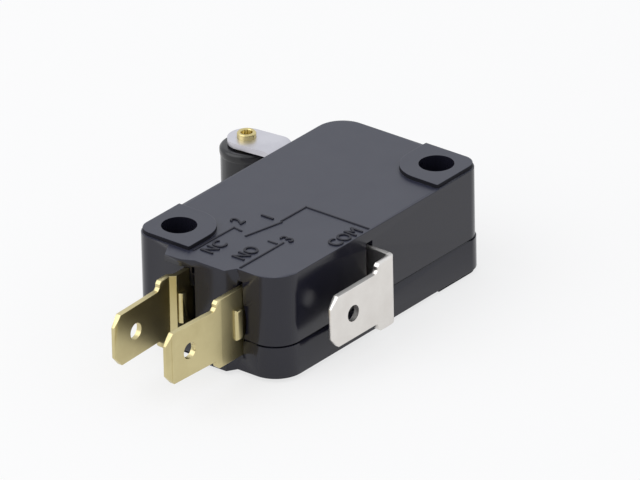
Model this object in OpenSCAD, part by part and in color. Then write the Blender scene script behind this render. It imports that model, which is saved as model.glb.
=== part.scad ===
// Snap-action lever micro switch: short hinged roller lever, one changeover contact,
// two end terminals and a common terminal folded along the side.
// The switch lies on its cover. X runs along the case, Y towards the lever, Z through
// the thickness. The origin is the mounting hole beside the end terminals, on the
// seating face. Sizes are in millimetres.

/* [Case] */
// Length of the case along X
body_l = 27.8; // [25:0.1:34]
// Width of the case along Y
body_w = 15.9; // [15:0.1:20]
// Thickness over the raised mounting pads
body_t = 10.3; // [9.8:0.1:13]
// Height of the parting line above the seating face
cover_h = 3.3; // [2.8:0.05:3.5]
// Thickness of the side walls
wall_t = 1.5; // [1.2:0.05:1.8]
// Thickness of the floor and of the roof
shell_t = 1.1; // [0.9:0.05:1.3]
// Corner radius at the two corners without a hole
corner_r = 2.5; // [1.5:0.1:3]
// Corner radius at the two corners with a mounting hole
hole_corner_r = 1.7; // [1:0.1:2.2]
// How far the cover stands out round the parting line
cover_proud = 0.1; // [0:0.02:0.2]
// Depth of the groove along the parting line
seam_w = 0.12; // [0.06:0.02:0.2]

/* [Mounting] */
// Diameter of the two mounting holes
hole_d = 3.1; // [2.8:0.05:3.8]
// Distance of each hole from the two case edges beside it
hole_inset = 2.8; // [2.6:0.1:3.4]
// Plastic round each hole inside the case
boss_wall = 1.25; // [1:0.05:1.5]
// Height of the pads above the broad faces
pad_h = 0.37; // [0.2:0.01:0.5]
// Radius of the pads round the holes
pad_r = 3.2; // [2.8:0.1:3.6]
// Distance from the outer wall to the pads
pad_inset = 0.4; // [0.2:0.05:0.6]

/* [Terminals] */
// Width of the quick-connect blades
tab_w = 4.75; // [4:0.05:5.8]
// Sheet thickness of the terminals
tab_t = 0.5; // [0.4:0.05:0.62]
// Length of each blade beyond its shoulders
tab_l = 6.25; // [5:0.05:8]
// Shoulder width to each side of the blade
shoulder_w = 0.8; // [0.5:0.05:0.9]
// Distance of the shoulders of the end terminals from the case
shoulder_out = 3.45; // [3:0.05:4.5]
// Diameter of the hole through each blade
tab_hole_d = 1.5; // [1.2:0.05:2]
// Distance of that hole from the tip
tab_hole_in = 2.85; // [2.4:0.05:3.5]
// Height of the normally open terminal above the common side
no_y = 4; // [3.6:0.05:4.4]
// Sideways step of the normally closed blade
nc_jog = 0.44; // [0.2:0.02:0.8]
// How far each end blade leans towards the other at its tip
tab_lean = 0.3; // [0:0.05:0.5]
// Distance of the common blade's outer face from the case
com_out = 2.6; // [2.3:0.05:3.4]
// Distance of the common terminal's slot from the terminal end
com_x = 12.05; // [11.5:0.05:13]
// Length of the common terminal's wide part outside the case
com_root_l = 2.5; // [2:0.05:3]

/* [Contacts] */
// Distance of the contacts from the terminal end
contact_x = 6.2; // [5.8:0.1:7]
// Diameter of the fixed contacts
contact_d = 2.8; // [2.2:0.1:3.2]
// Height of the fixed contacts
contact_h = 0.6; // [0.4:0.05:0.8]
// Open gap at the normally open contact
contact_gap = 0.96; // [0.8:0.02:1.2]
// Thickness of the moving contact arm
arm_t = 0.4; // [0.3:0.05:0.5]
// Width of the moving contact arm at its fulcrum
arm_w = 5; // [4.4:0.1:5.2]

/* [Plunger and rocker] */
// Distance of the plunger from the far end of the case
plunger_in = 4.8; // [4.6:0.1:5.6]
// Diameter of the plunger
plunger_d = 3; // [2.4:0.05:3.6]
// Distance from the rocker's axle to the plunger
rocker_arm = 5.4; // [5:0.1:6]
// Diameter of the rocker's axle
axle_d = 1.3; // [1.1:0.05:1.4]
// Radial running clearance of the moving fits
fit = 0.05; // [0.03:0.01:0.08]
// Wire of the tension spring
wire_d = 0.25; // [0.2:0.01:0.28]
// Outer diameter of the tension spring
coil_d = 1.5; // [1.2:0.05:1.7]

/* [Lever and roller] */
// Distance from the lever's hinge to the plunger
hinge_arm = 9; // [8.4:0.1:9.6]
// Diameter of the hinge pin
pin_d = 1.2; // [1:0.05:1.3]
// Depth of the hinge pin below the lever side of the case
pin_in = 0.7; // [0.6:0.05:0.9]
// Height of the lever plate above the hinge pin
lever_rise = 1.85; // [1.6:0.05:2.2]
// Sheet thickness of the lever
lever_t = 0.5; // [0.4:0.05:0.6]
// Width over the lever's ears
lever_w = 6.3; // [6:0.05:6.5]
// Outer bend radius of the ears
lever_bend = 0.9; // [0.7:0.05:1.1]
// Free angle of the lever to the case
lever_tilt = 6; // [4:0.5:7]
// Height of the roller axis above the lever plate
roller_up = 3.7; // [3.4:0.05:4.4]
// Diameter of the roller over its rims
roller_d = 4.8; // [4:0.1:5.8]
// Length of the roller
roller_l = 4.9; // [4.4:0.05:5.1]
// Outer diameter of the tubular rivet
rivet_d = 1.7; // [1.5:0.05:2.04]
// Bore of the tubular rivet
rivet_bore = 1; // [0.8:0.05:1.2]
// How far the rivet stands out of the ear
rivet_proud = 0.5; // [0.3:0.05:0.6]

/* [Hidden] */
$fn = 64;
bend_steps = 6;
eps = 0.02;
cut = 1;

plastic = [0.16, 0.16, 0.18];
brass = [0.78, 0.7, 0.45];
tinned = [0.82, 0.81, 0.79];
steel = [0.76, 0.76, 0.78];
silver = [0.86, 0.86, 0.84];
copper = [0.72, 0.45, 0.3];

// Heights through the thickness
mid_z = body_t / 2;
face_lo = pad_h;
face_hi = body_t - pad_h;
floor_z = face_lo + shell_t;
roof_z = face_hi - shell_t;
bearing_depth = shell_t * 0.55;

// Mounting holes, from the corner between the terminal end and the common side
hole_a = [hole_inset, body_w - hole_inset];
hole_b = [body_l - hole_inset, hole_inset];
boss_r = hole_d / 2 + boss_wall;
post_r = 0.6;
post_a = [body_l - corner_r, body_w - corner_r];
post_b = [corner_r, corner_r];

// Levels of the contacts across the case
root_w = tab_w + 2 * shoulder_w;
inner_w = 5.2;
nc_y = hole_a[1] - boss_r - tab_t - eps;
button_h = 0.27;
arm_y = nc_y - contact_h - 0.03 - button_h - arm_t / 2;
no_face_y = arm_y - arm_t / 2 - button_h - contact_gap;
platform_y = no_face_y - contact_h - tab_t;
platform_x = [contact_x - contact_d / 2 - 0.6 - tab_t, contact_x + contact_d / 2 + 0.4];

// Plunger, rocker, fulcrum and the spring's two anchors
plunger_x = body_l - plunger_in;
axle = [plunger_x - rocker_arm, arm_y - 0.75];
fulcrum_x = axle[0] - axle_d / 2 - 1.25;
com_strip_y = wall_t + 0.9;
rocker_top = arm_y + 1.95;
rocker_w = 3.8;
hook_r = 0.55;
hook_slack = 0.3;
bar_r = 0.3;
web = [contact_x + 2.35, contact_x + 2.75];
anchor_arm = [web[0] - wire_d / 2 + hook_r - hook_slack, arm_y];
anchor_rocker = [axle[0] + 1.8, arm_y + 0.2];
spring_l = norm(anchor_rocker - anchor_arm);
spring_turn = atan2(anchor_rocker[1] - anchor_arm[1], anchor_rocker[0] - anchor_arm[0]);

// Lever hinge, and the plunger's ends between rocker and lever
hinge = [plunger_x - hinge_arm, body_w - pin_in];
plate_y = hinge[1] + lever_rise / cos(lever_tilt) + hinge_arm * tan(lever_tilt);
plunger_top = plate_y - 0.08;
plunger_tip = rocker_top + 0.08;
guide_y = body_w - wall_t - 1.4;
flange_r = plunger_d / 2 + 0.6;
flange_room = 0.25;
leg_r = pin_d / 2 + 0.75;
ear_r = rivet_d / 2 + 0.85;
roller_at = [hinge_arm, lever_rise + roller_up];
pocket_x = leg_r + 0.45;
pocket_y = hinge[1] - leg_r - 0.3;
pocket_w = lever_w + 0.6;

// Directions and corners of a bent strip
function unit(v) = v / norm(v);
function left_of(v) = [-v[1], v[0]];
function turned(v, a) = [v[0] * cos(a) - v[1] * sin(a), v[0] * sin(a) + v[1] * cos(a)];
function turn(a, b) = atan2(a[0] * b[1] - a[1] * b[0], a * b);

// Points of the arc of radius r that replaces the corner p between directions a and b
function corner_arc(p, a, b, r) =
  let (
    d = turn(a, b),
    spoke = left_of(a) * sign(d) * r,
    centre = p - a * r * tan(abs(d) / 2) + spoke
  )
  [for (k = [0:bend_steps]) centre - turned(spoke, d * k / bend_steps)];

// Path with every inner corner rounded to radius r
function rounded(p, r) =
  let (n = len(p))
  [
    p[0],
    for (i = [1:n - 2])
      each corner_arc(p[i], unit(p[i] - p[i - 1]), unit(p[i + 1] - p[i]), r),
    p[n - 1],
  ];

// Point i of a path moved h to its left, mitred between its two neighbours
function beside(p, i, h) =
  let (
    n = len(p),
    b = i < n - 1 ? unit(p[i + 1] - p[i]) : unit(p[i] - p[i - 1]),
    a = i > 0 ? unit(p[i] - p[i - 1]) : b
  )
  p[i] + (left_of(a) + left_of(b)) * h / (1 + a * b);

// Edge outline of a sheet of thickness t that follows a centre line
module strip(path, t) {
  n = len(path);
  polygon([
    for (i = [0:n - 1]) beside(path, i, t / 2),
    for (i = [n - 1:-1:0]) beside(path, i, -t / 2),
  ]);
}

// Waste outside a corner of radius r, at the origin
module corner_waste(r) {
  difference() {
    translate([-cut, -cut])
      square(r + cut);
    translate([r, r])
      circle(r);
  }
}

// Rectangle from a to b whose corners have the radii r, counter-clockwise from a
module plate(a, b, r) {
  corners = [a, [b[0], a[1]], b, [a[0], b[1]]];
  difference() {
    translate(a)
      square(b - a);
    for (i = [0:3])
      translate(corners[i])
        rotate(90 * i)
          corner_waste(r[i]);
  }
}

// Case outline, grown outwards by g
module body_plan(g = 0) {
  r = [corner_r + g, hole_corner_r + g, corner_r + g, hole_corner_r + g];
  plate([-g, -g], [body_l + g, body_w + g], r);
}

// Mounting pad: the case corner beyond a line that rounds the hole
module pad_plan(hole, away) {
  translate(hole)
    mirror([away[0] < 0 ? 1 : 0, 0])
      mirror([0, away[1] < 0 ? 1 : 0])
        intersection() {
          plate(
            [-pad_r, -pad_r], [hole_inset - pad_inset, hole_inset - pad_inset],
            [pad_r, 0.1, hole_corner_r - pad_inset, 0.1]
          );
          square(4 * pad_r, center = true);
        }
}

// Barrier between the end terminals, which carries on past the end wall
module barrier_plan() {
  out = 0.95;
  inner = no_y + tab_t;
  polygon([
    [cut / 2, inner], [0, inner + 0.05], [-out, inner + 0.65], [-out, nc_y - 1.4],
    [0, nc_y - 0.8], [cut / 2, nc_y - 0.8],
  ]);
}

// Thin lip that roofs the slot of the normally closed terminal
module lip_plan() {
  polygon([
    [cut / 2, nc_y + 2.2], [0, nc_y + 2.2], [-1.55, nc_y + 1.35], [-1.45, nc_y - 0.4],
    [-0.95, nc_y - 1.4], [cut / 2, nc_y - 1.4],
  ]);
}

// Bosses round the holes and the locating posts, filled out to the walls
module boss_plan() {
  for (p = [hole_a, hole_b])
    translate(p)
      circle(boss_r);
  for (p = [post_a, post_b])
    translate(p)
      circle(post_r + 0.9);
}

// Floor of the lever's pocket, seen from above
module pocket_plan(grow) {
  translate([hinge[0] - pocket_x - grow, pocket_y - grow])
    square([2 * (pocket_x + grow), body_w - pocket_y + grow]);
}

// Ribs that carry the terminals inside the case
module rib_plan() {
  translate([platform_x[0] + tab_t + 0.6, wall_t - eps])
    square([2, platform_y - wall_t + eps]);
  translate([platform_x[1] - 1.4, nc_y + tab_t])
    square([1, body_w - wall_t - nc_y - tab_t + eps]);
  translate([com_x + 1.2, wall_t - eps])
    square([2, com_strip_y - wall_t + eps]);
  translate([fulcrum_x + tab_t, wall_t - eps])
    square([0.8, axle[1] - axle_d / 2 - 1 - wall_t + eps]);
}

// Space inside the shell
module cavity_plan() {
  difference() {
    translate([wall_t, wall_t])
      square([body_l - 2 * wall_t, body_w - 2 * wall_t]);
    boss_plan();
    pocket_plan(1);
  }
}

// Openings in the walls for the terminals, and the lugs' reliefs beside them
module terminal_slots() {
  z = mid_z - root_w / 2 - fit;
  h = root_w + 2 * fit;
  lug_h = 3.2;
  for (y = [no_y, nc_y]) {
    translate([-2 * cut, y - fit, z])
      cube([wall_t + 2 * cut + eps, tab_t + 2 * fit, h]);
    translate([-2 * cut, y - 0.55, mid_z - lug_h / 2])
      cube([2 * cut + 0.5, 0.55, lug_h]);
  }
  translate([com_x - fit, -cut, z])
    cube([tab_t + 2 * fit, wall_t + cut + eps, h]);
}

// Blind bearings of the rocker's axle and the seat of the lever's hinge pin
module bearings() {
  translate([axle[0], axle[1], floor_z - bearing_depth])
    cylinder(h = roof_z - floor_z + 2 * bearing_depth, d = axle_d + 2 * fit);
  translate([hinge[0], hinge[1], mid_z - pocket_w / 2 - 0.8])
    cylinder(h = pocket_w + 1.6, d = pin_d + eps);
}

// Both mounting holes from face to face
module mounting_holes() {
  for (p = [hole_a, hole_b])
    translate([p[0], p[1], -cut])
      cylinder(h = body_t + 2 * cut, d = hole_d);
}

// Pocket in the lever side that takes the lever's legs
module lever_pocket() {
  translate([0, 0, mid_z - pocket_w / 2])
    linear_extrude(pocket_w)
      intersection() {
        pocket_plan(0);
        translate([0, pocket_y])
          square([body_l, body_w + cut]);
      }
  translate([hinge[0] - pocket_x, body_w - cut, mid_z - pocket_w / 2])
    cube([2 * pocket_x, 2 * cut, pocket_w]);
}

// Bore of the plunger, and the chamber in which its flange travels
module plunger_way() {
  travel = 3;
  translate([plunger_x, 0, mid_z])
    rotate([-90, 0, 0]) {
      translate([0, 0, guide_y - cut])
        cylinder(h = body_w - guide_y + 2 * cut, d = plunger_d + 2 * fit);
      translate([0, 0, guide_y - travel])
        cylinder(h = travel, r = flange_r + flange_room);
    }
}

// Moves a piece from the case corner to the origin at the mounting hole
module datum() {
  translate([-hole_a[0], -hole_a[1], 0])
    children();
}

// Deep half of the shell, with the marked face, ribs, guide and bearings
module case() {
  color(plastic)
    datum()
      difference() {
        union() {
          difference() {
            union() {
              translate([0, 0, cover_h + seam_w])
                linear_extrude(face_hi - cover_h - seam_w)
                  body_plan();
              translate([0, 0, cover_h])
                linear_extrude(seam_w + eps)
                  body_plan(-seam_w);
              translate([0, 0, cover_h])
                linear_extrude(face_hi - cover_h)
                  barrier_plan();
              translate([0, 0, face_hi - 0.65])
                linear_extrude(0.65)
                  lip_plan();
            }
            translate([0, 0, cover_h - cut])
              linear_extrude(roof_z - cover_h + cut)
                cavity_plan();
          }
          translate([0, 0, face_hi - eps])
            linear_extrude(pad_h + eps) {
              pad_plan(hole_a, [-1, 1]);
              pad_plan(hole_b, [1, -1]);
            }
          translate([0, 0, cover_h])
            linear_extrude(roof_z - cover_h + eps)
              rib_plan();
          translate([plunger_x - plunger_d / 2 - 0.9, guide_y, cover_h])
            cube([plunger_d + 1.8, body_w - wall_t - guide_y + eps, roof_z - cover_h + eps]);
          for (p = [post_a, post_b])
            translate([p[0], p[1], cover_h - 1.5])
              cylinder(h = 1.5 + eps, r = post_r);
        }
        mounting_holes();
        terminal_slots();
        bearings();
        lever_pocket();
        plunger_way();
      }
}

// Shallow half of the shell, which closes the case from below
module cover() {
  color(plastic)
    datum()
      difference() {
        union() {
          difference() {
            union() {
              translate([0, 0, face_lo])
                linear_extrude(cover_h - face_lo)
                  body_plan(cover_proud);
              translate([0, 0, face_lo])
                linear_extrude(cover_h - face_lo)
                  barrier_plan();
            }
            translate([0, 0, floor_z])
              linear_extrude(cover_h - floor_z + cut)
                cavity_plan();
          }
          linear_extrude(face_lo + eps) {
            pad_plan(hole_a, [-1, 1]);
            pad_plan(hole_b, [1, -1]);
          }
        }
        mounting_holes();
        terminal_slots();
        bearings();
        lever_pocket();
        plunger_way();
        for (p = [post_a, post_b])
          translate([p[0], p[1], cover_h - 1.6])
            cylinder(h = 1.6 + cut, r = post_r + fit);
      }
}

// Push button between the lever and the rocker, round, domed at both ends
module plunger() {
  r = plunger_d / 2;
  dome = 0.5;
  tip_r = 0.8;
  flange_top = guide_y - 0.1;
  color(plastic)
    datum()
      translate([plunger_x, 0, mid_z])
        rotate([-90, 0, 0])
          rotate_extrude()
            polygon([
              [0, plunger_tip],
              for (a = [10:20:90]) [tip_r * sin(a), plunger_tip + tip_r * (1 - cos(a)) * 0.6],
              [tip_r, flange_top - 0.9],
              [flange_r, flange_top - 0.7],
              [flange_r, flange_top],
              [r, flange_top],
              [r, plunger_top - dome],
              for (a = [75:-15:15]) [r * sin(a), plunger_top - dome * (1 - cos(a))],
              [0, plunger_top],
            ]);
}

// Steel pin that the lever turns on
module hinge_pin() {
  color(steel)
    datum()
      translate([hinge[0], hinge[1], mid_z - pocket_w / 2 - 0.75])
        cylinder(h = pocket_w + 1.5, d = pin_d);
}

// Cross section of a channel bent from sheet, open towards +Y
module channel(height) {
  w = lever_w / 2;
  plate([-w, 0], [w, height], [lever_bend, lever_bend, 0.01, 0.01]);
}

// Inside of that channel
module channel_core(height) {
  w = lever_w / 2 - lever_t;
  r = lever_bend - lever_t;
  plate([-w, lever_t], [w, height + cut], [r, r, 0.01, 0.01]);
}

// Side outline of the ears: straight flanks under a round end
module ear_side() {
  translate([roller_at[0] - ear_r, lever_rise])
    square([2 * ear_r, roller_up]);
  translate(roller_at)
    circle(ear_r);
}

// Side outline of the hinge legs, round at the pin
module leg_side() {
  translate([-leg_r, 0])
    square([2 * leg_r, lever_rise + lever_t]);
  circle(leg_r);
}

// Places the lever's parts at the hinge, at the free angle
module on_hinge() {
  datum()
    translate([hinge[0], hinge[1], mid_z])
      rotate(lever_tilt)
        children();
}

// Stainless lever: a strip with two ears for the roller and two legs for the hinge pin
module lever() {
  up_h = roller_up + ear_r + cut;
  down_h = lever_rise + lever_t + leg_r + cut;
  strip_w = lever_w - 2 * lever_bend;
  color(steel)
    on_hinge()
      difference() {
        union() {
          translate([-leg_r, lever_rise, -strip_w / 2])
            cube([roller_at[0] + ear_r + leg_r, lever_t, strip_w]);
          intersection() {
            translate([0, lever_rise, 0])
              rotate([0, 90, 0])
                linear_extrude(2 * hinge_arm)
                  difference() {
                    channel(up_h);
                    channel_core(up_h);
                  }
            translate([0, 0, -lever_w])
              linear_extrude(2 * lever_w)
                ear_side();
          }
          intersection() {
            translate([-hinge_arm, lever_rise + lever_t, 0])
              rotate([0, 90, 0])
                linear_extrude(2 * hinge_arm)
                  mirror([0, 1])
                    difference() {
                      channel(down_h);
                      channel_core(down_h);
                    }
            translate([0, 0, -lever_w])
              linear_extrude(2 * lever_w)
                leg_side();
          }
        }
        translate([0, 0, -lever_w])
          cylinder(h = 2 * lever_w, d = pin_d + 2 * fit);
        translate([roller_at[0], roller_at[1], -lever_w])
          cylinder(h = 2 * lever_w, d = rivet_d + eps);
      }
}

// Tubular brass rivet through both ears, headed on the lower side
module roller_rivet() {
  half = lever_w / 2;
  head_t = 0.4;
  color(brass)
    on_hinge()
      translate([roller_at[0], roller_at[1], 0])
        rotate_extrude()
          polygon([
            [rivet_bore / 2, -half - head_t],
            [rivet_d / 2 + 0.45, -half - head_t],
            [rivet_d / 2 + 0.45, -half],
            [rivet_d / 2, -half],
            [rivet_d / 2, half + rivet_proud - 0.12],
            [rivet_d / 2 - 0.08, half + rivet_proud],
            [rivet_bore / 2 + 0.06, half + rivet_proud],
            [rivet_bore / 2, half + rivet_proud - 0.1],
          ]);
}

// Moulded roller with a raised rim at each end
module roller() {
  r = roller_d / 2;
  waist = 0.07;
  rim = 0.7;
  edge = 0.2;
  bore = rivet_d / 2 + fit;
  h = roller_l / 2;
  color(plastic)
    on_hinge()
      translate([roller_at[0], roller_at[1], 0])
        rotate_extrude()
          polygon([
            [bore, -h], [r - edge, -h], [r, -h + edge], [r, -h + rim],
            [r - waist, -h + rim + waist], [r - waist, h - rim - waist],
            [r, h - rim], [r, h - edge], [r - edge, h], [bore, h],
          ]);
}

// Flat pattern of a terminal along X: blade to -X, shoulders, then the inner part
module terminal_plan(tip, shoulder, root, end) {
  b = tab_w / 2;
  s = root_w / 2;
  i = inner_w / 2;
  cx = 0.85;
  cz = 0.95;
  r = 0.25;
  half = [
    [tip, b - cz], [tip + cx, b], [shoulder - r, b], [shoulder, b + r], [shoulder, s - r],
    [shoulder + r, s], [root, s], [root, i], [end, i],
  ];
  n = len(half);
  translate([0, mid_z])
    polygon([
      for (p = half) p,
      for (k = [n - 1:-1:0]) [half[k][0], -half[k][1]],
    ]);
}

// Wedges that thin the tip of a blade, whose centre line ends at the origin
module tip_bevel() {
  for (side = [0, 1])
    mirror([0, side])
      polygon([
        [-cut, 0.3 * tab_t], [0, 0.3 * tab_t], [0.65, 0.5 * tab_t],
        [0.65, 0.5 * tab_t + cut], [-cut, 0.5 * tab_t + cut],
      ]);
}

// Solid of a terminal from its edge outline (children) and its flat pattern
module terminal(tip_at, shoulder, root, end) {
  difference() {
    intersection() {
      linear_extrude(body_t)
        difference() {
          children();
          translate(tip_at)
            tip_bevel();
        }
      translate([0, body_w, 0])
        rotate([90, 0, 0])
          linear_extrude(2 * body_w)
            terminal_plan(tip_at[0], shoulder, root, end);
    }
    translate([tip_at[0] + tab_hole_in, tip_at[1] - 2 * cut, mid_z])
      rotate([-90, 0, 0])
        cylinder(h = 4 * cut, d = tab_hole_d);
  }
}

// Stop lug pressed out of a terminal against the end wall
module lug(y) {
  translate([-1.45, y, mid_z - 1.4])
    linear_extrude(2.8)
      polygon([[0, eps], [0.12, -0.3], [0.65, -0.35], [0.85, -0.2], [0.85, eps]]);
}

// Hole for the shank of a fixed contact, from one side of the case to the other
module shank_hole() {
  translate([contact_x, 0, mid_z])
    rotate([-90, 0, 0])
      cylinder(h = body_w, d = contact_d / 2);
}

// Normally open terminal: blade, shoulders and a raised platform for its contact
module open_terminal() {
  y = no_y + tab_t / 2;
  tip = [-shoulder_out - tab_l, y + tab_lean];
  up = platform_y + tab_t / 2;
  path = [
    tip, [-shoulder_out + 0.6, y], [platform_x[0] + tab_t / 2, y],
    [platform_x[0] + tab_t / 2, up], [platform_x[1], up],
  ];
  color(brass)
    datum()
      difference() {
        union() {
          terminal(tip, -shoulder_out, wall_t + 0.1, platform_x[1])
            strip(rounded(path, 0.45), tab_t);
          lug(no_y);
        }
        shank_hole();
      }
}

// Normally closed terminal: blade with a small sideways step, straight inside
module closed_terminal() {
  y = nc_y + tab_t / 2;
  tip = [-shoulder_out - tab_l, y + nc_jog - tab_lean];
  path = [
    tip, [-1.6 - nc_jog, y + nc_jog], [-1.6, y], [platform_x[1], y],
  ];
  color(brass)
    datum()
      difference() {
        union() {
          terminal(tip, -shoulder_out, wall_t + 0.1, platform_x[1])
            strip(path, tab_t);
          lug(nc_y);
        }
        shank_hole();
      }
}

// Common terminal: blade along the case, fold, neck through the wall, inner strip
// and a forked upstand whose notches carry the contact arm
module common_terminal() {
  x = com_x + tab_t / 2;
  y = -com_out + tab_t / 2;
  inner_y = com_strip_y + tab_t / 2;
  up_x = fulcrum_x + tab_t / 2;
  top_y = arm_y + 1;
  shoulder = com_x + tab_t - com_root_l;
  tip = [shoulder - tab_l, y];
  path = [tip, [x, y], [x, inner_y], [up_x, inner_y], [up_x, top_y]];
  gap_w = coil_d + 1.2;
  color(tinned)
    datum()
      difference() {
        terminal(tip, shoulder, com_x + tab_t + 0.1, fulcrum_x + tab_t)
          strip(rounded(path, 0.45), tab_t);
        translate([fulcrum_x - cut, arm_y - coil_d / 2 - 0.6, mid_z - gap_w / 2])
          cube([2 * cut + tab_t, body_w, gap_w]);
        linear_extrude(body_t)
          polygon([
            [fulcrum_x - eps, arm_y - 0.34], [fulcrum_x + 0.24, arm_y],
            [fulcrum_x - eps, arm_y + 0.34],
          ]);
      }
}

// Fixed contact rivet: head towards +Y with a shank behind it
module fixed_contact(face_y) {
  translate([contact_x, face_y, mid_z])
    rotate([90, 0, 0])
      rotate_extrude()
        polygon([
          [0, 0], [contact_d / 2 - 0.3, 0.06], [contact_d / 2, 0.25],
          [contact_d / 2, contact_h], [contact_d / 4 - eps / 2, contact_h],
          [contact_d / 4 - eps / 2, contact_h + tab_t], [0, contact_h + tab_t],
        ]);
}

// Contact on the platform of the normally open terminal
module open_contact() {
  color(silver)
    datum()
      fixed_contact(no_face_y);
}

// Contact under the normally closed terminal
module closed_contact() {
  color(silver)
    datum()
      translate([0, 2 * (nc_y - contact_h), 0])
        mirror([0, 1, 0])
          fixed_contact(nc_y - contact_h);
}

// Moving contact arm: round at the contact, forked to the knife edges at the fulcrum
module contact_arm() {
  nose = contact_d / 2 + 0.3;
  slot_w = coil_d + 0.9;
  heel = fulcrum_x - 0.5;
  color(copper)
    datum()
      difference() {
        intersection() {
          linear_extrude(body_t)
            polygon([
              [contact_x - nose, arm_y - arm_t / 2], [heel, arm_y - arm_t / 2],
              [fulcrum_x + 0.1, arm_y - 0.04], [fulcrum_x + 0.1, arm_y + 0.04],
              [heel, arm_y + arm_t / 2], [contact_x - nose, arm_y + arm_t / 2],
            ]);
          translate([0, body_w, mid_z])
            rotate([90, 0, 0])
              linear_extrude(body_w)
                difference() {
                  union() {
                    translate([contact_x, 0])
                      circle(nose);
                    polygon([
                      [contact_x, -nose], [web[1], -arm_w / 2], [fulcrum_x + cut, -arm_w / 2],
                      [fulcrum_x + cut, arm_w / 2], [web[1], arm_w / 2], [contact_x, nose],
                    ]);
                  }
                  translate([web[1], -slot_w / 2])
                    square([body_l, slot_w]);
                  translate([web[0] - 0.7, -0.35])
                    square([0.7, 0.7]);
                }
        }
        translate([contact_x, 0, mid_z])
          rotate([-90, 0, 0])
            cylinder(h = body_w, d = contact_d / 2);
      }
}

// Double-faced rivet at the end of the arm
module moving_contact() {
  r = contact_d / 2 - 0.1;
  h = arm_t / 2 + button_h;
  neck = contact_d / 4 - eps / 2;
  color(silver)
    datum()
      translate([contact_x, arm_y, mid_z])
        rotate([-90, 0, 0])
          rotate_extrude()
            polygon([
              [0, -h], [r - 0.3, -h + 0.05], [r, -h + 0.18], [r, -arm_t / 2],
              [neck, -arm_t / 2], [neck, arm_t / 2], [r, arm_t / 2], [r, h - 0.18],
              [r - 0.3, h - 0.05], [0, h],
            ]);
}

// Side outline of the rocker: hub, cheeks at the spring and arm under the plunger
module rocker_side() {
  top = rocker_top;
  tip = plunger_x + 1.2;
  translate(axle)
    circle(axle_d / 2 + 0.5);
  polygon([
    [axle[0] - 0.9, axle[1] + 0.7], [axle[0] + 0.6, anchor_rocker[1] + 0.6],
    [axle[0] + 2.6, top - 0.35], [axle[0] + 3.6, top], [tip - 0.4, top], [tip, top - 0.4],
    [tip, top - 0.7], [tip - 0.4, top - 1.1], [axle[0] + 3.8, top - 1.25],
    [axle[0] + 0.7, axle[1] - 0.9],
  ]);
}

// Moulded rocker: the plunger tips it about its axle and it carries the spring's bar
module rocker() {
  slot_w = 2 * wire_d + 0.8;
  color(plastic)
    datum() {
      difference() {
        union() {
          translate([0, 0, mid_z - rocker_w / 2])
            linear_extrude(rocker_w)
              rocker_side();
          translate([axle[0], axle[1], floor_z - bearing_depth + fit])
            cylinder(h = roof_z - floor_z + 2 * (bearing_depth - fit), d = axle_d);
        }
        translate([axle[0] - 2, axle[1] - 2, mid_z - slot_w / 2])
          cube([2 + anchor_rocker[0] - axle[0] + hook_r + 0.5, 6, slot_w]);
      }
      translate([anchor_rocker[0], anchor_rocker[1], mid_z - rocker_w / 2])
        cylinder(h = rocker_w, r = bar_r);
    }
}

// Outline of the close-wound coil and its end turns, which close on the axis
module coil_outline(turns) {
  r = coil_d / 2;
  groove = 0.4 * wire_d;
  top = turns * wire_d;
  polygon([
    [0, 0],
    for (k = [0:turns - 1]) each [
      [r - groove, k * wire_d], [r, (k + 0.35) * wire_d],
      [r, (k + 0.65) * wire_d], [r - groove, (k + 1) * wire_d],
    ],
    [0, top], [0, top - wire_d], [r - wire_d, top - wire_d], [r - wire_d, wire_d],
    [0, wire_d],
  ]);
}

// Tension spring from the arm to the rocker, with a loop at each end
module tension_spring() {
  loops = [0, spring_l - (hook_r - wire_d / 2 - bar_r - 0.02)];
  start = 1.3;
  turns = floor((fulcrum_x - 0.6 - anchor_arm[0] - start) / wire_d);
  coil_end = start + turns * wire_d;
  color(steel)
    datum()
      translate([anchor_arm[0], anchor_arm[1], mid_z])
        rotate(spring_turn) {
          translate([start, 0, 0])
            rotate([0, 90, 0])
              rotate_extrude()
                coil_outline(turns);
          for (x = loops)
            translate([x, 0, 0])
              rotate_extrude()
                translate([hook_r, 0])
                  circle(wire_d / 2);
          for (ends = [[hook_r, start + eps], [coil_end - eps, loops[1] - hook_r]])
            translate([ends[0], 0, 0])
              rotate([0, 90, 0])
                cylinder(h = ends[1] - ends[0], d = wire_d);
        }
}

case();
cover();
plunger();
hinge_pin();
lever();
roller_rivet();
roller();
common_terminal();
open_terminal();
closed_terminal();
open_contact();
closed_contact();
contact_arm();
moving_contact();
rocker();
tension_spring();
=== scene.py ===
import math

import bmesh
import bpy
from mathutils import Matrix, Vector


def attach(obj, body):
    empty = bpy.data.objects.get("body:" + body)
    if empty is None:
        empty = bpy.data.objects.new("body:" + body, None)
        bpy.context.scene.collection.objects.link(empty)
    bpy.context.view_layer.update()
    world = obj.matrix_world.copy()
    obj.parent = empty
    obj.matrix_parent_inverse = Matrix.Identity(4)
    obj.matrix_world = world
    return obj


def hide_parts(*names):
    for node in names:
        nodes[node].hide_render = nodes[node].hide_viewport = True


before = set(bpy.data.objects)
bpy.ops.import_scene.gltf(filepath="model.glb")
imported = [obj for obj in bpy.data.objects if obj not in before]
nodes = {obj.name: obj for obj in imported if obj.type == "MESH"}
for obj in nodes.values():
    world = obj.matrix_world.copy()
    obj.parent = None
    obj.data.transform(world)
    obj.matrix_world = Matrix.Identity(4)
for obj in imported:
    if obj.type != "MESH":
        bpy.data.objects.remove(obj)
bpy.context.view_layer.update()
mm = 0.001
print("frame loaded:", len(nodes), "nodes")


# selection and mesh helpers

def onlySelect(piece):
    bpy.ops.object.select_all(action="DESELECT")
    piece.select_set(True)
    bpy.context.view_layer.objects.active = piece


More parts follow.
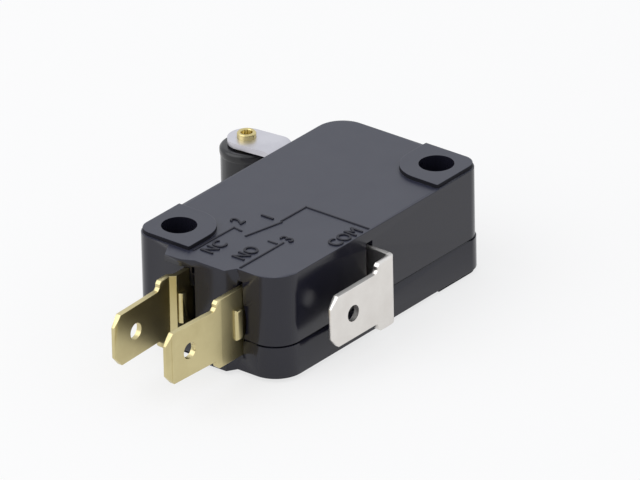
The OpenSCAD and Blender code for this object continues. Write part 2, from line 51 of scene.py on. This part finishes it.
def point(x, y, z):
    return Vector((x * mm, y * mm, z * mm))


def copyOfNode(nodeName, pieceName):
    # a copy of a CAD node with its loose triangles merged
    piece = bpy.data.objects.new(pieceName, nodes[nodeName].data.copy())
    bpy.context.scene.collection.objects.link(piece)
    piece.data.materials.clear()
    onlySelect(piece)
    bpy.ops.object.mode_set(mode="EDIT")
    bpy.ops.mesh.select_all(action="SELECT")
    bpy.ops.mesh.remove_doubles(threshold=0.0005 * mm)
    bpy.ops.object.mode_set(mode="OBJECT")
    return piece


def bevelEdges(piece, width, segments, wanted, sharpest=35):
    # rounds the sharp edges that wanted(middle, edge) picks
    onlySelect(piece)
    bpy.ops.object.mode_set(mode="EDIT")
    bpy.ops.mesh.select_mode(type="EDGE")
    bpy.ops.mesh.select_all(action="DESELECT")
    mesh = bmesh.from_edit_mesh(piece.data)
    count = 0
    for edge in mesh.edges:
        if len(edge.link_faces) != 2:
            continue
        angle = math.degrees(edge.calc_face_angle(0))
        middle = (edge.verts[0].co + edge.verts[1].co) / 2 / mm
        if angle > sharpest and wanted(middle, edge):
            edge.select_set(True)
            count += 1
    bmesh.update_edit_mesh(piece.data)
    if count:
        bpy.ops.mesh.bevel(
            offset=width * mm, segments=segments, affect="EDGES", clamp_overlap=False,
            miter_outer="SHARP", miter_inner="SHARP",
        )
    bpy.ops.object.mode_set(mode="OBJECT")
    return count


def smoothPiece(piece, angle=30, broad=2.0, narrow=0.3):
    # round faces shade smooth; flat faces over "broad" square mm keep their own normal,
    # and the faces of a round over "narrow" lead the small ones along its edges
    onlySelect(piece)
    bpy.ops.object.shade_smooth_by_angle(angle=math.radians(angle))
    planes = {}
    for face in piece.data.polygons:
        offset = round(face.normal.dot(face.center) / mm, 2)
        plane = (*(round(value, 2) for value in face.normal), offset)
        planes.setdefault(plane, []).append(face)
    grade = {}
    for faces in planes.values():
        area = sum(face.area for face in faces) / (mm * mm)
        strength = "STRONG" if area > broad else "MEDIUM" if area > narrow else "WEAK"
        grade.update((face.index, strength) for face in faces)
    bpy.ops.object.mode_set(mode="EDIT")
    bpy.ops.mesh.select_mode(type="FACE")
    for strength in ("WEAK", "MEDIUM", "STRONG"):
        bpy.ops.mesh.select_all(action="DESELECT")
        mesh = bmesh.from_edit_mesh(piece.data)
        for face in mesh.faces:
            face.select_set(grade[face.index] == strength)
        bmesh.update_edit_mesh(piece.data)
        bpy.ops.mesh.mod_weighted_strength(set=True, face_strength=strength)
    bpy.ops.object.mode_set(mode="OBJECT")
    weighted = piece.modifiers.new("flatFaces", "WEIGHTED_NORMAL")
    weighted.keep_sharp = True
    weighted.use_face_influence = True
    bpy.ops.object.modifier_apply(modifier=weighted.name)


def cutFrom(piece, cutters):
    # takes the cutters' shapes out of the piece
    for cutter in cutters:
        onlySelect(piece)
        cut = piece.modifiers.new("cut", "BOOLEAN")
        cut.operation = "DIFFERENCE"
        cut.solver = "EXACT"
        cut.object = cutter
        bpy.ops.object.modifier_apply(modifier=cut.name)
        bpy.data.objects.remove(cutter)


def block(low, high):
    # a box between two corners
    bpy.ops.object.select_all(action="DESELECT")
    a, b = point(*low), point(*high)
    bpy.ops.mesh.primitive_cube_add(size=1, location=(a + b) / 2)
    box = bpy.context.object
    box.scale = b - a
    bpy.ops.object.transform_apply(location=True, rotation=True, scale=True)
    return box


def standFor(piece, nodeName, body):
    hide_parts(nodeName)
    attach(piece, body)


# materials; texture scales are per metre, reliefs in millimetres

texture = {
    "mouldCloud": 420, "mouldGrain": 9000, "mouldSpread": 0.05, "mouldRelief": 0.35,
    "rollAlong": 260, "rollAcross": 9000, "rollCloud": 380, "rollTones": (0.32, 0.62),
    "rollSpread": 0.04, "rollRelief": 0.4,
}


def newMaterial(name):
    material = bpy.data.materials.new(name)
    material.use_nodes = True
    return material, material.node_tree.nodes, material.node_tree.links


def noise(shaders, links, place, scale, detail, roughness=0.5):
    grain = shaders.new("ShaderNodeTexNoise")
    grain.inputs["Scale"].default_value = scale
    grain.inputs["Detail"].default_value = detail
    grain.inputs["Roughness"].default_value = roughness
    links.new(place, grain.inputs["Vector"])
    return grain.outputs["Fac"]


def glossAndRelief(shaders, links, glossBy, roughness, spread, reliefBy, height, strength):
    # the gloss swings about its middle value and a fine relief breaks reflections
    shader = shaders["Principled BSDF"]
    gloss = shaders.new("ShaderNodeMapRange")
    gloss.inputs["To Min"].default_value = roughness - spread
    gloss.inputs["To Max"].default_value = roughness + spread
    links.new(glossBy, gloss.inputs["Value"])
    links.new(gloss.outputs["Result"], shader.inputs["Roughness"])
    bump = shaders.new("ShaderNodeBump")
    bump.inputs["Strength"].default_value = strength
    bump.inputs["Distance"].default_value = height * mm
    links.new(reliefBy, bump.inputs["Height"])
    links.new(bump.outputs["Normal"], shader.inputs["Normal"])


def moulded(name, color, roughness, grain=0.012, specular=0.5):
    # injection moulded plastic: faint cloudy gloss and a fine eroded grain
    material, shaders, links = newMaterial(name)
    shader = shaders["Principled BSDF"]
    shader.inputs["Base Color"].default_value = (*color, 1)
    shader.inputs["Specular IOR Level"].default_value = specular
    place = shaders.new("ShaderNodeTexCoord").outputs["Object"]
    cloud = noise(shaders, links, place, texture["mouldCloud"], 5)
    fine = noise(shaders, links, place, texture["mouldGrain"], 3)
    glossAndRelief(
        shaders, links, cloud, roughness, texture["mouldSpread"],
        fine, grain, texture["mouldRelief"],
    )
    return material


def rolled(name, color, dark, roughness, along=(1, 0, 0), lines=0.0006, metallic=1):
    # rolled strip metal: long faint lines along the rolling direction, clouded tone
    material, shaders, links = newMaterial(name)
    shader = shaders["Principled BSDF"]
    shader.inputs["Metallic"].default_value = metallic
    place = shaders.new("ShaderNodeTexCoord").outputs["Object"]
    stretch = shaders.new("ShaderNodeMapping")
    stretch.inputs["Scale"].default_value = [
        texture["rollAlong"] if way else texture["rollAcross"] for way in along
    ]
    links.new(place, stretch.inputs["Vector"])
    streaks = noise(shaders, links, stretch.outputs["Vector"], 1, 4)
    cloud = noise(shaders, links, place, texture["rollCloud"], 6, 0.6)
    tone = shaders.new("ShaderNodeValToRGB")
    for stop, position, shade in zip(tone.color_ramp.elements, texture["rollTones"], (dark, color)):
        stop.position = position
        stop.color = (*shade, 1)
    links.new(cloud, tone.inputs["Fac"])
    links.new(tone.outputs["Color"], shader.inputs["Base Color"])
    glossAndRelief(
        shaders, links, streaks, roughness, texture["rollSpread"],
        streaks, lines, texture["rollRelief"],
    )
    return material


finishes = {
    # the top's coarser grain and rougher gloss are its own, but its colour is painted lighter and
    # bluer than the walls' as painted light
    "caseTopPaintedLight": moulded("caseTopPaintedLight", (0.024, 0.026, 0.045), 0.36),
    "caseWall": moulded("caseWall", (0.0115, 0.0115, 0.02), 0.2, grain=0.003, specular=0.42),
    # painted shade: the pads' sides get the same plastic made darker and duller, for the dark band
    # beneath the pads' rims
    "paintedPadShade": moulded("paintedPadShade", (0.008, 0.008, 0.012), 0.6, grain=0.03, specular=0.12),
    "marks": moulded("raisedMarks", (0.014, 0.014, 0.022), 0.5, specular=0.28),
    "roller": moulded("rollerPlastic", (0.01, 0.01, 0.012), 0.24, grain=0.008),
    "rocker": moulded("rockerPlastic", (0.05, 0.05, 0.055), 0.4),
    "lever": rolled("leverSteel", (0.63, 0.62, 0.66), (0.56, 0.55, 0.59), 0.36),
    "pin": rolled("pinSteel", (0.6, 0.6, 0.62), (0.5, 0.5, 0.52), 0.25, along=(0, 0, 1)),
    "brass": rolled("bladeBrass", (0.63, 0.55, 0.3), (0.57, 0.49, 0.26), 0.33),
    "rivet": rolled("rivetBrass", (0.66, 0.56, 0.27), (0.5, 0.4, 0.17), 0.24, along=(0, 0, 1)),
    "plated": rolled("platedBlade", (0.77, 0.745, 0.71), (0.71, 0.68, 0.645), 0.3),
    "sheared": rolled(
        "shearedNeck", (0.62, 0.61, 0.59), (0.3, 0.29, 0.28), 0.5,
        along=(0, 0, 1), lines=0.03, metallic=0.4,
    ),
    "silver": rolled("contactSilver", (0.8, 0.8, 0.78), (0.7, 0.7, 0.68), 0.3),
    "copper": rolled("armCopper", (0.7, 0.42, 0.27), (0.6, 0.34, 0.2), 0.28),
    "spring": rolled("springSteel", (0.5, 0.5, 0.52), (0.4, 0.4, 0.42), 0.25),
}

for nodeName, finish in (
    ("hinge_pin", "pin"), ("plunger", "roller"), ("rocker", "rocker"),
    ("tension_spring", "spring"), ("contact_arm", "copper"), ("moving_contact", "silver"),
    ("open_contact", "silver"), ("closed_contact", "silver"),
):
    nodes[nodeName].data.materials.clear()
    nodes[nodeName].data.materials.append(finishes[finish])
print("materials made:", len(finishes))


# case and cover, in millimetres

shell = {
    "topEdge": 0.05, "steps": 2, "broad": 0.9,
    "faceHigh": 9.93, "faceLow": 0.37, "high": 10.3, "middle": 5.15,
    "insideX": (-1.4, 23.6), "insideY": (-11.7, 1.4), "insideZ": (1.3, 8.9),
    "caseFrom": 3.7, "coverTo": 1.2,  # where the two halves' rounded rims lie
    "wallX": -2.8, "wallY": -13.1, "sheet": 0.5,
    "holes": ((0, 0, -1, 1), (22.2, -10.3, 1, -1)),  # axis, then the way to the corner
    "rimFar": 1.7, "boreFar": 1.8,
}

pads = {
    "from": 2.4, "to": 2.62,  # the outer sides, from the holes' axes
    "corner": 1.1, "round": 1.4,  # the outer corner's centre and reach
    "reach": 3.3, "far": 4.6, "foot": 0.02,
}

slots = {
    "blades": (-9.1, -4.17), "top": 8.32, "room": 0.55,
    "proud": 0.05, "play": 0.04, "under": 0.3, "deep": 0.8,
    "common": 9.25, "commonRoom": 0.3, "commonLow": 1.9, "commonLap": 0.1,
    "commonProud": 0.3, "commonDeep": 0.9, "commonPlay": 0.05, "commonUnder": 0.2,
    "lugRadius": 4.4, "lugRoom": 0.36, "lugDepth": 0.5,
    "reliefDeep": 0.6, "reliefSide": 0.55, "reliefHalf": 1.65, "reliefKept": 0.1,
}

touch = 0.01  # millimetres within which two heights count as one


def fromHoles(x, y):
    # the distance to the nearer mounting hole's axis
    return min(math.hypot(x - holeX, y - holeY) for holeX, holeY, _, _ in shell["holes"])


def outsideShell(middle):
    # true on the shell's outer skin, away from the sealed space inside it
    sides = zip(middle, (shell["insideX"], shell["insideY"], shell["insideZ"]))
    return not all(low < value < high for value, (low, high) in sides)


def outline(edge):
    # true on the long rims of the broad faces, not inside the slots
    ends = [vertex.co / mm for vertex in edge.verts]
    level = abs(ends[0].z - ends[1].z) < touch
    rims = (shell["faceHigh"], shell["high"], shell["faceLow"], 0)
    return level and any(abs(ends[0].z - rim) < touch for rim in rims)


def widenPads(piece):
    # the pads' outer sides stand close to the walls below them
    stretch = pads["to"] / pads["from"]
    for vertex in piece.data.vertices:
        x, y, z = vertex.co / mm
        if shell["faceLow"] + touch < z < shell["faceHigh"] - touch:
            continue
        for holeX, holeY, wayX, wayY in shell["holes"]:
            acrossX, acrossY = (x - holeX) * wayX, (y - holeY) * wayY
            cornerX, cornerY = acrossX - pads["corner"], acrossY - pads["corner"]
            onPad = -pads["reach"] <= min(acrossX, acrossY)
            onPad = onPad and max(acrossX, acrossY) < pads["from"] + touch
            onBore = math.hypot(acrossX, acrossY) < shell["boreFar"]
            # the walls' round corner stands outside the pad's
            onWall = min(cornerX, cornerY) > 0 and math.hypot(cornerX, cornerY) > pads["round"]
            if onBore or onWall or not onPad:
                continue
            if acrossX > 0:
                vertex.co.x = (holeX + acrossX * stretch * wayX) * mm
            if acrossY > 0:
                vertex.co.y = (holeY + acrossY * stretch * wayY) * mm


def closeLugReliefs(piece):
    # brings the side of each square relief up to its slot
    for vertex in piece.data.vertices:
        x, y, z = vertex.co / mm
        if x > shell["wallX"] + slots["reliefDeep"]:
            continue
        if abs(z - shell["middle"]) > slots["reliefHalf"]:
            continue
        for slot in slots["blades"]:
            if abs(y - slot + slots["reliefSide"]) < 2 * touch:
                vertex.co.y = (slot - slots["reliefKept"]) * mm


def lugRelief(slot):
    # a shallow segment of a disc beside the slot
    bpy.ops.object.select_all(action="DESELECT")
    centre = slot - slots["lugRoom"] + slots["lugRadius"]
    bpy.ops.mesh.primitive_cylinder_add(
        vertices=128, radius=slots["lugRadius"] * mm, depth=2 * slots["lugDepth"] * mm,
        location=point(shell["wallX"], centre, shell["middle"]), rotation=(0, math.pi / 2, 0),
    )
    disc = bpy.context.object
    bpy.ops.object.transform_apply(location=True, rotation=True, scale=True)
    bpy.ops.object.mode_set(mode="EDIT")
    bpy.ops.mesh.select_all(action="SELECT")
    bpy.ops.mesh.bisect(
        plane_co=point(0, slot + shell["sheet"] / 2, 0), plane_no=(0, 1, 0),
        use_fill=True, clear_outer=True,
    )
    bpy.ops.object.mode_set(mode="OBJECT")
    return disc


def openSlots(piece):
    # room round the blades where they leave the walls
    wallX, wallY = shell["wallX"], shell["wallY"]
    roof = slots["top"] + slots["room"]
    cutters = [lugRelief(slot) for slot in slots["blades"]]
    for slot in slots["blades"]:
        cutters.append(block(
            (wallX - slots["proud"], slot - slots["play"], slots["top"] - slots["under"]),
            (wallX + slots["deep"], slot + shell["sheet"] + slots["play"], roof),
        ))
    common, lap = slots["common"], slots["commonLap"]
    before, behind = wallY - slots["commonProud"], wallY + slots["commonDeep"]
    cutters.append(block(
        (common - slots["commonRoom"], before, slots["commonLow"]),
        (common + lap, behind, roof),
    ))
    cutters.append(block(
        (common - lap, before, slots["top"] - slots["commonUnder"]),
        (common + shell["sheet"] + slots["commonPlay"], behind, roof),
    ))
    cutFrom(piece, cutters)


def shellFinish(piece, height):
    # broad faces, whose colour is painted lighter as painted light, walls, and the rough sides of
    # the pads, whose plastic is made darker and duller as painted shade
    for name in ("caseTopPaintedLight", "caseWall", "paintedPadShade"):
        piece.data.materials.append(finishes[name])
    for face in piece.data.polygons:
        x, y, z = face.center / mm
        steep = abs(face.normal.z) < 0.5
        beside = shell["boreFar"] < fromHoles(x, y) < pads["far"]
        above = z > shell["faceHigh"] + pads["foot"] or z < shell["faceLow"] - pads["foot"]
        # the pads' steep sides above or below the broad faces take the painted shade
        if steep and above and beside:
            face.material_index = 2
        # broad faces at the half's own height take the top colour that is painted lighter as
        # painted light
        elif abs(z - height) < 0.5 and not steep:
            face.material_index = 0
        else:
            face.material_index = 1


def makeShellHalf(nodeName, pieceName, height, inReach, shaped=()):
    piece = copyOfNode(nodeName, pieceName)
    widenPads(piece)
    for shape in shaped:
        shape(piece)
    print(pieceName, "edges:", bevelEdges(
        piece, shell["topEdge"], shell["steps"],
        lambda middle, edge: inReach(middle.z) and outsideShell(middle)
        and fromHoles(middle.x, middle.y) >= shell["rimFar"] and outline(edge),
    ))
    shellFinish(piece, height)
    smoothPiece(piece, broad=shell["broad"])
    standFor(piece, nodeName, "base")


makeShellHalf(
    "case", "case_shell", shell["faceHigh"], lambda z: z > shell["caseFrom"],
    (closeLugReliefs, openSlots),
)
makeShellHalf("cover", "cover_shell", shell["faceLow"], lambda z: z < shell["coverTo"])
print("shell made")


# blades, lever, roller and rivet, in millimetres

sheet = {
    "edge": 0.035, "leverEdge": 0.06, "rollerEdge": 0.08, "rivetEdge": 0.05,
    "bladeFrom": -3.0, "commonFrom": -13.3,  # where blades and fold come out of the walls
    "bladeHole": -9.65, "commonHole": 3.85, "holeRoom": 0.85,
    "leverLow": 1.8, "leverHigh": 8.5,  # only the ears and legs past these have round edges
    "neck": (-15.3, -13.0),
}

lug = {
    "from": -4.3, "to": -3.35, "inner": -2.9, "shift": 0.34, "round": 0.13,
    "half": 1.45, "face": 0.03, "proud": 0.15, "keepFrom": -4.1, "keepHalf": 1.6,
}


def clearOfHole(middle, x):
    # true away from the rim of a blade's hole, whose axis runs along Y
    return math.hypot(middle.x - x, middle.z - shell["middle"]) > sheet["holeRoom"]


def makeSheetPiece(nodeName, pieceName, body, finish, edgeRadius, wanted=None, shaped=None):
    piece = copyOfNode(nodeName, pieceName)
    if shaped:
        shaped(piece)
    wanted = wanted or (lambda middle, edge: True)
    print(pieceName, "edges:", bevelEdges(piece, edgeRadius, 2, wanted, sharpest=40))
    piece.data.materials.append(finishes[finish])
    smoothPiece(piece)
    standFor(piece, nodeName, body)
    return piece


def shearedNeck(piece):
    # the sheared edges between the wall and the fold are rough and pale
    piece.data.materials.append(finishes["sheared"])
    low, high = sheet["neck"]
    for face in piece.data.polygons:
        if low < face.center.y / mm < high and abs(face.normal.y) < 0.5:
            face.material_index = 1


def roundLug(slot):
    # the pressed lug stands against the wall, with rounded flanks
    def shaped(piece):
        for vertex in piece.data.vertices:
            x, y, z = vertex.co / mm
            onLug = lug["from"] < x < lug["to"] and abs(z - shell["middle"]) < lug["half"]
            if onLug and y < slot + lug["face"]:
                vertex.co.x += lug["shift"] * mm
        bevelEdges(
            piece, lug["round"], 3,
            lambda middle, edge: lug["from"] < middle.x < lug["inner"]
            and middle.y < slot - lug["proud"]
            and abs(middle.z - shell["middle"]) < lug["half"],
            sharpest=12,
        )
    return shaped


def bladeEdges(middle, edge):
    besideLug = middle.x > lug["keepFrom"] and abs(middle.z - shell["middle"]) < lug["keepHalf"]
    outside = middle.x < sheet["bladeFrom"] and clearOfHole(middle, sheet["bladeHole"])
    return outside and not besideLug


def commonEdges(middle, edge):
    return middle.y < sheet["commonFrom"] and clearOfHole(middle, sheet["commonHole"])


def leverEdges(middle, edge):
    return middle.z > sheet["leverHigh"] or middle.z < sheet["leverLow"]


shearedNeck(makeSheetPiece(
    "common_terminal", "common_blade", "base", "plated", sheet["edge"], commonEdges,
))
makeSheetPiece("open_terminal", "open_blade", "base", "brass", sheet["edge"],
               bladeEdges, roundLug(slots["blades"][0]))
makeSheetPiece("closed_terminal", "closed_blade", "base", "brass", sheet["edge"],
               bladeEdges, roundLug(slots["blades"][1]))
makeSheetPiece("lever", "lever_strip", "lever", "lever", sheet["leverEdge"], leverEdges)
makeSheetPiece("roller", "roller_body", "roller", "roller", sheet["rollerEdge"])
makeSheetPiece("roller_rivet", "rivet_tube", "lever", "rivet", sheet["rivetEdge"])
print("metal pieces made")


# raised circuit marks on the upper face, in millimetres from the hole's axis

marks = {
    "height": 0.09, "width": 0.19, "sunk": 0.02, "barEdge": 0.05,
    "signSize": 1.35 * 1.38, "signEdge": 0.02, "narrow": 0.86,
    "lines": [
        [(-2.3, -3.5), (2.97, -3.57), (2.82, -4.46)],
        [(2.35, -5.39), (6.1, -6.2)],
        [(6.35, -6.05), (9.61, -6.07), (9.6, -12.81)],
        [(-2.45, -8.7), (3.2, -8.72)],
        [(2.75, -8.35), (2.75, -7.55)],
    ],
    "signs": [
        ("2", 4.04, -3.14), ("1", 6.15, -4.71), ("3", 3.96, -8.65),
        ("NC", -0.88, -4.63), ("NO", -0.13, -7.5), ("COM", 7.13, -12.29),
    ],
}


def raisedLine(start, end):
    # a bar with its upper edges broken, from start to end
    a, b = Vector(start), Vector(end)
    run = b - a
    base = shell["faceHigh"] - marks["sunk"]
    tall = marks["height"] + marks["sunk"]
    bpy.ops.object.select_all(action="DESELECT")
    middle = (a + b) / 2
    bpy.ops.mesh.primitive_cube_add(
        size=1, location=point(middle.x, middle.y, base + tall / 2),
        rotation=(0, 0, math.atan2(run.y, run.x)),
    )
    bar = bpy.context.object
    bar.scale = ((run.length + marks["width"]) * mm, marks["width"] * mm, tall * mm)
    bpy.ops.object.transform_apply(location=True, rotation=True, scale=True)
    top = (shell["faceHigh"] + marks["height"] - touch) * mm
    bevelEdges(
        bar, marks["barEdge"], 2,
        lambda middle, edge: min(vertex.co.z for vertex in edge.verts) > top,
    )
    return bar


def raisedSign(words, x, y):
    bpy.ops.object.select_all(action="DESELECT")
    bpy.ops.object.text_add(location=(0, 0, 0))
    sign = bpy.context.object
    sign.data.body = words
    sign.data.size = marks["signSize"] * mm
    sign.data.align_x = "CENTER"
    sign.data.align_y = "CENTER"
    sign.data.extrude = (marks["height"] + marks["sunk"]) / 2 * mm
    sign.data.bevel_depth = marks["signEdge"] * mm
    sign.data.bevel_resolution = 1
    sign.data.resolution_u = 4
    bpy.ops.object.convert(target="MESH")
    sign = bpy.context.object
    lift = shell["faceHigh"] + (marks["height"] - marks["sunk"]) / 2
    sign.data.transform(Matrix.Diagonal((marks["narrow"], 1, 1, 1)))
    sign.data.transform(Matrix.Translation(point(x, y, lift)))
    return sign


def makeMarks():
    pieces = []
    for line in marks["lines"]:
        for start, end in zip(line, line[1:]):
            pieces.append(raisedLine(start, end))
    for words, x, y in marks["signs"]:
        pieces.append(raisedSign(words, x, y))
    bpy.ops.object.select_all(action="DESELECT")
    for piece in pieces:
        piece.select_set(True)
    bpy.context.view_layer.objects.active = pieces[0]
    bpy.ops.object.join()
    piece = bpy.context.object
    piece.name = "circuit_marks"
    piece.data.materials.clear()
    piece.data.materials.append(finishes["marks"])
    for face in piece.data.polygons:
        face.material_index = 0
    smoothPiece(piece)
    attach(piece, "base")


makeMarks()
print("marks made")


# studio; lengths in millimetres, angles in degrees

studio = {
    "azimuth": -50.8, "elevation": 27.05, "roll": -1.16, "distance": 852.5, "lens": 561.3,
    "sensor": 36, "near": 10, "far": 10000, "aim": (11.90, -5.66, 5.73),
    "floorSize": 4000, "floorDrop": 0.02, "floorTone": (0.93, 0.93, 0.94), "whiteShare": 0.72,
    "softTone": (0.97, 0.98, 1), "softLight": 0.75, "whiteTone": (0.95, 0.97, 1),
    "keyPlace": (-350, 250, 420), "keyPower": 1.5, "keySize": 700,
}


def seenDirectly(shaders, links):
    # one for the camera's own view and for reflections, nought for scattered light
    ray = shaders.new("ShaderNodeLightPath")
    seen = shaders.new("ShaderNodeMath")
    seen.operation = "MAXIMUM"
    links.new(ray.outputs["Is Camera Ray"], seen.inputs[0])
    links.new(ray.outputs["Is Glossy Ray"], seen.inputs[1])
    return seen.outputs["Value"]


def makeFloor():
    bpy.ops.object.select_all(action="DESELECT")
    bpy.ops.mesh.primitive_plane_add(
        size=studio["floorSize"] * mm, location=point(0, 0, -studio["floorDrop"]),
    )
    floor = bpy.context.object
    floor.name = "floor"
    material, shaders, links = newMaterial("floorPaper")
    shaders.remove(shaders["Principled BSDF"])
    paper = shaders.new("ShaderNodeBsdfDiffuse")
    paper.inputs["Color"].default_value = (*studio["floorTone"], 1)
    white = shaders.new("ShaderNodeEmission")
    white.inputs["Strength"].default_value = 1
    share = shaders.new("ShaderNodeMath")
    share.operation = "MULTIPLY"
    share.inputs[1].default_value = studio["whiteShare"]
    links.new(seenDirectly(shaders, links), share.inputs[0])
    mix = shaders.new("ShaderNodeMixShader")
    links.new(share.outputs["Value"], mix.inputs["Fac"])
    links.new(paper.outputs["BSDF"], mix.inputs[1])
    links.new(white.outputs["Emission"], mix.inputs[2])
    links.new(mix.outputs["Shader"], shaders["Material Output"].inputs["Surface"])
    floor.data.materials.append(material)


def makeWorld():
    world = bpy.data.worlds.new("studioWorld")
    bpy.context.scene.world = world
    world.use_nodes = True
    shaders, links = world.node_tree.nodes, world.node_tree.links
    shaders.clear()
    mix = shaders.new("ShaderNodeMixShader")
    links.new(seenDirectly(shaders, links), mix.inputs["Fac"])
    lights = ((1, studio["softTone"], studio["softLight"]), (2, studio["whiteTone"], 1))
    for socket, tone, strength in lights:
        light = shaders.new("ShaderNodeBackground")
        light.inputs["Color"].default_value = (*tone, 1)
        light.inputs["Strength"].default_value = strength
        links.new(light.outputs["Background"], mix.inputs[socket])
    output = shaders.new("ShaderNodeOutputWorld")
    links.new(mix.outputs["Shader"], output.inputs["Surface"])


def makeKeyLamp():
    lamp = bpy.data.lights.new("keyLamp", "AREA")
    lamp.energy = studio["keyPower"]
    lamp.shape = "DISK"
    lamp.size = studio["keySize"] * mm
    holder = bpy.data.objects.new("keyLamp", lamp)
    bpy.context.scene.collection.objects.link(holder)
    holder.location = point(*studio["keyPlace"])
    aim = point(*studio["aim"]) - holder.location
    holder.rotation_euler = aim.to_track_quat("-Z", "Y").to_euler()


def makeCamera():
    camera = bpy.data.cameras.new("camera")
    camera.lens = studio["lens"]
    camera.sensor_width = studio["sensor"]
    camera.clip_start = studio["near"] * mm
    camera.clip_end = studio["far"] * mm
    holder = bpy.data.objects.new("camera", camera)
    bpy.context.scene.collection.objects.link(holder)
    turn = (
        Matrix.Rotation(math.radians(studio["azimuth"]), 4, "Z")
        @ Matrix.Rotation(math.radians(90 - studio["elevation"]), 4, "X")
        @ Matrix.Rotation(math.radians(studio["roll"]), 4, "Z")
    )
    back = turn.to_3x3() @ Vector((0, 0, 1))
    stand = point(*studio["aim"]) + back * studio["distance"] * mm
    holder.matrix_world = Matrix.Translation(stand) @ turn
    bpy.context.scene.camera = holder


makeFloor()
makeWorld()
makeKeyLamp()
makeCamera()
bpy.context.scene.view_settings.view_transform = "Standard"
print("studio made")
